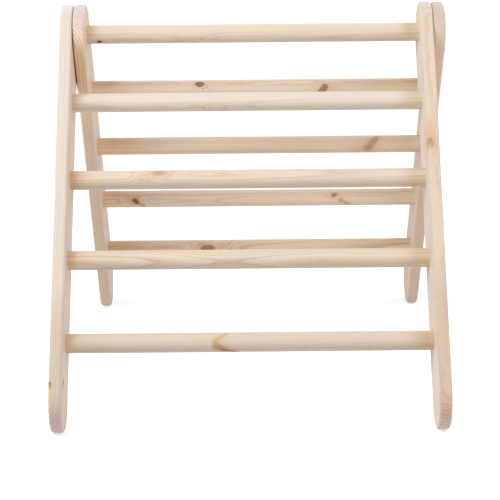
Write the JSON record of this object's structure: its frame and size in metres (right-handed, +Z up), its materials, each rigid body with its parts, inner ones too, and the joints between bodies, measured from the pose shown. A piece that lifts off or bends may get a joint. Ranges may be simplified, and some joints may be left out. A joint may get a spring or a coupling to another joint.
{
  "type": "folding climbing triangle",
  "caption": "Wooden climbing triangle for small children: two ladder panels of flat round-ended rails and round rungs, hinged on the top rung, with a pin and groove stop.",
  "frame": {"origin": "on the floor, below the middle of the top rung, which is the pivot axis", "axes": "+X along the rungs to the right of someone who faces the front panel, -Y towards the front panel's feet, +Z up"},
  "size_m": [0.6186, 0.7576, 0.6056],
  "materials": {
    "pine_board": "fine sanded, unfinished",
    "pine_dowel": "fine sanded, unfinished",
    "steel": "zinc plated",
    "nylon": "natural, matt"
  },
  "bodies": {
    "front_panel": {"top_rung": "pine_dowel", "front_left_rail": "pine_board", "front_right_rail": "pine_board", "front_rung_1": "pine_dowel", "front_rung_2": "pine_dowel", "front_rung_3": "pine_dowel", "front_rung_4": "pine_dowel", "front_left_rung_screws": "steel", "front_right_rung_screws": "steel", "left_pivot_bolt": "steel", "left_head_washer": "steel", "left_gap_washer": "nylon", "left_threaded_insert": "steel", "right_pivot_bolt": "steel", "right_head_washer": "steel", "right_gap_washer": "nylon", "right_threaded_insert": "steel", "front_stop_pin": "steel"},
    "rear_panel": {"rear_left_rail": "pine_board", "rear_right_rail": "pine_board", "rear_rung_1": "pine_dowel", "rear_rung_2": "pine_dowel", "rear_rung_3": "pine_dowel", "rear_rung_4": "pine_dowel", "rear_left_rung_screws": "steel", "rear_right_rung_screws": "steel", "rear_stop_pin": "steel"}
  },
  "joints": [
    {"name": "fold", "type": "hinge", "parent": "front_panel", "child": "rear_panel", "pos_m": [0, 0, 0.55732], "axis": [-1, 0, 0], "range_deg": [0, 33]}
  ]
}
